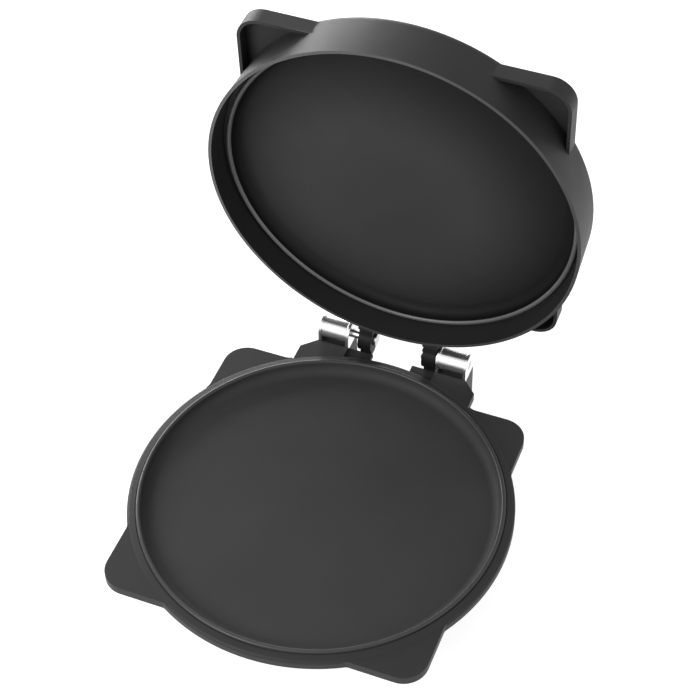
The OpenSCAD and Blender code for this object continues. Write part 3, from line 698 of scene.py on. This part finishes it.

# Painted shade: a copy of the coating, darkened towards the plate's edge and in its bend.
upper_painted_shade = FINISHES["plate_coating"].copy()
upper_painted_shade.name = "plate_coating_painted_shade"
for centre, fade, keep in ((WIDE_CENTRE, WIDE_FADE, WIDE_KEEP),
                           (BEND_CENTRE, BEND_FADE, BEND_KEEP)):
    spot = SHUT["lid"].inverted() @ (PLATE_AXIS + MM * Vector(centre))
    darker_outwards(upper_painted_shade, spot, *fade, keep)
upper_form.data.materials[0] = upper_painted_shade
print("upper plate in", upper_painted_shade.name, "with", len(upper_painted_shade.node_tree.nodes), "nodes")


# %% [markdown]
# ## A background that stays plain
# The floor is plain and pale. It could be made white with more light, but that
# would wash out the dark part. So the floor and the world ask what kind of ray
# has come. Camera, mirror and glass rays see a near-white background. All
# other rays, which carry the soft light to the part, see a plain grey one.

# %% Which rays see the background
def background_rays(tree):
    """1 for camera, mirror and glass rays, which see the plain background."""
    rays = tree.nodes.new("ShaderNodeLightPath")
    first = tree.nodes.new("ShaderNodeMath")
    first.operation = "MAXIMUM"
    both = tree.nodes.new("ShaderNodeMath")
    both.operation = "MAXIMUM"
    tree.links.new(rays.outputs["Is Camera Ray"], first.inputs[0])
    tree.links.new(rays.outputs["Is Glossy Ray"], first.inputs[1])
    tree.links.new(first.outputs["Value"], both.inputs[0])
    tree.links.new(rays.outputs["Is Transmission Ray"], both.inputs[1])
    return both.outputs["Value"]


# %% [markdown]
# ## The floor
# The camera has to see a white floor that still takes a shadow. A glow alone
# would hide the shadow, and a matt paint alone would be grey. The two are
# added: most of the white is glow, and the rest is paint that can be shaded.

# %% The floor's material
FLOOR_GREY, FLOOR_ROUGH, FLOOR_SPEC = 0.8, 0.7, 0.1
FLOOR_GLOW, FLOOR_PAINT = 0.86, 0.5


def floor_material():
    """A pale grey that shows as white with a shadow to the camera."""
    material, tree, shader = new_material("floor_white", grey(FLOOR_GREY), FLOOR_ROUGH,
                                          spec=FLOOR_SPEC)
    glow = tree.nodes.new("ShaderNodeEmission")
    glow.inputs["Strength"].default_value = FLOOR_GLOW
    matt = tree.nodes.new("ShaderNodeBsdfDiffuse")
    matt.inputs["Color"].default_value = (*grey(FLOOR_PAINT), 1)
    white = tree.nodes.new("ShaderNodeAddShader")
    chooser = tree.nodes.new("ShaderNodeMixShader")
    tree.links.new(glow.outputs["Emission"], white.inputs[0])
    tree.links.new(matt.outputs["BSDF"], white.inputs[1])
    tree.links.new(background_rays(tree), chooser.inputs["Fac"])
    tree.links.new(shader.outputs["BSDF"], chooser.inputs[1])
    tree.links.new(white.outputs["Shader"], chooser.inputs[2])
    tree.links.new(chooser.outputs["Shader"], tree.nodes["Material Output"].inputs["Surface"])
    return material


# %% Lay the floor
FLOOR_HALF = 8
FLOOR_DROP = 0.2 * MM
FLOOR_CORNERS = ((-1, -1), (1, -1), (1, 1), (-1, 1))

floor_z = cad_box[0][2] - FLOOR_DROP
floor_mesh = bpy.data.meshes.new("floor")
floor_mesh.from_pydata([(x * FLOOR_HALF, y * FLOOR_HALF, floor_z) for x, y in FLOOR_CORNERS],
                       [], [(0, 1, 2, 3)])
floor_mesh.materials.append(floor_material())
floor = bpy.data.objects.new("floor", floor_mesh)
bpy.context.scene.collection.objects.link(floor)
print("floor at", round(floor_z / MM, 2), "mm")

# %% [markdown]
# ## The room
# A soft even room lights everything a little, from all sides. Its light is
# dimmer than the backdrop that the camera sees, so that the part isn't washed
# out.

# %% Light the room
ROOM_LIGHT, BACKDROP_LIGHT = 0.42, 1.0

world = bpy.data.worlds.new("studio")
bpy.context.scene.world = world
world.use_nodes = True
world_tree = world.node_tree
room = world_tree.nodes["Background"]
room.inputs["Color"].default_value = (1, 1, 1, 1)
room.inputs["Strength"].default_value = ROOM_LIGHT
backdrop = world_tree.nodes.new("ShaderNodeBackground")
backdrop.inputs["Strength"].default_value = BACKDROP_LIGHT
chooser = world_tree.nodes.new("ShaderNodeMixShader")
world_tree.links.new(background_rays(world_tree), chooser.inputs["Fac"])
world_tree.links.new(room.outputs["Background"], chooser.inputs[1])
world_tree.links.new(backdrop.outputs["Background"], chooser.inputs[2])
world_tree.links.new(chooser.outputs["Shader"],
                     world_tree.nodes["World Output"].inputs["Surface"])
print("room light", ROOM_LIGHT, "backdrop", BACKDROP_LIGHT)


# %% [markdown]
# ## The lamps
# Dark plastic shows the shapes of lamps, so three large soft boxes are used
# and no small ones. The key box stands in front on the left and lights the
# plates. The rim box stands low behind on the left: it draws the wide
# highlight along the lid's wall and leaves the flat ears dark. The side box
# only lifts the right side a little.

# %% Three soft boxes
def soft_box(name, place, look_at, width, height, watts):
    """A rectangular lamp that looks at a point, all in metres."""
    data = bpy.data.lights.new(name, "AREA")
    data.shape = "RECTANGLE"
    data.size, data.size_y = width, height
    data.energy = watts
    lamp = bpy.data.objects.new(name, data)
    bpy.context.scene.collection.objects.link(lamp)
    lamp.location = place
    lamp.rotation_euler = (Vector(look_at) - Vector(place)).to_track_quat("-Z", "Y").to_euler()
    print(name, watts, "W")


soft_box("key_box", place=(-0.9, -1.5, 1.3), look_at=(0, 0.1, 0.15),
         width=1.2, height=1.0, watts=24)
soft_box("rim_box", place=(-1.75, 1.55, 0.62), look_at=(-0.05, 0.15, 0.3),
         width=3.0, height=1.0, watts=66)
soft_box("side_box", place=(1.7, -0.4, 0.9), look_at=(0, 0.05, 0.2),
         width=0.8, height=1.2, watts=3)

# %% [markdown]
# ## The view transform
# The colours are shown as they are written, with the plain view transform.

# %% The plain view transform
bpy.context.scene.view_settings.view_transform = "Standard"
print("view transform", bpy.context.scene.view_settings.view_transform)
